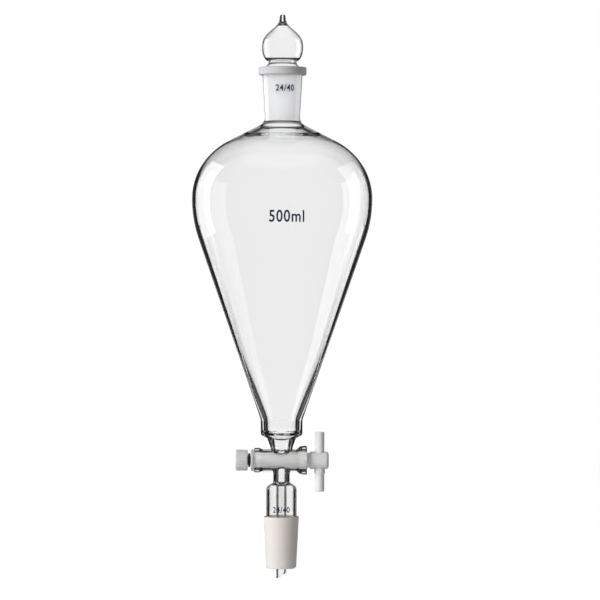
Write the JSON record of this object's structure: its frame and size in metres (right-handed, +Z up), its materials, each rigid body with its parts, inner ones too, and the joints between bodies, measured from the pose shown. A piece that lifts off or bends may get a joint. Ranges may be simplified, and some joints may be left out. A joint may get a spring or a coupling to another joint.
{
  "type": "dropping funnel",
  "caption": "Pear-shaped clear glass dropping funnel with a ground stopper, a plastic stopcock with a bar handle and tension nut, and a ground cone with a drip tip below.",
  "frame": {"origin": "on the glass axis at the wide end of the lower ground cone, the plane where it seats in a flask's socket", "axes": "+Z up along the glass axis toward the stopper; +X along the stopcock toward its handle; the nut is on the -X side"},
  "size_m": [0.1238, 0.1238, 0.3871],
  "materials": {
    "clear_glass": "clear, fire polished",
    "ground_glass": "ground, frosted white",
    "white_plastic": "turned, waxy white",
    "black_rubber": "matte"
  },
  "bodies": {
    "glass_body": {"socket_joint": "ground_glass", "pear_vessel": "clear_glass", "vessel_collar": "clear_glass", "stopcock_barrel": "clear_glass", "stopcock_stem": "clear_glass", "drip_tube": "clear_glass", "cone_joint": "ground_glass"},
    "stopper": {"stopper": "clear_glass"},
    "plug": {"stopcock_plug": "white_plastic", "handle_bar": "white_plastic", "bearing_washer": "white_plastic"},
    "ring": {"rubber_ring": "black_rubber"},
    "nut": {"tension_nut": "white_plastic"}
  },
  "joints": [
    {"name": "stopper_lift", "type": "slide", "parent": "glass_body", "child": "stopper", "axis": [0, 0, 1], "range_m": [0, 0.045]},
    {"name": "plug_turn", "type": "hinge", "parent": "glass_body", "child": "plug", "pos_m": [0, 0, 0.039], "axis": [1, 0, 0], "continuous": true},
    {"name": "ring_slide", "type": "slide", "parent": "plug", "child": "ring", "axis": [-1, 0, 0], "range_m": [0, 0.0075]},
    {"name": "nut_turn", "type": "hinge", "parent": "ring", "child": "nut", "pos_m": [-0.0237, 0, 0.039], "axis": [-1, 0, 0], "range_deg": [0, 1800]}
  ],
  "couplings": [
    {"joint": "nut_turn", "follows": "ring_slide", "rad_per_m": 4188.8}
  ]
}
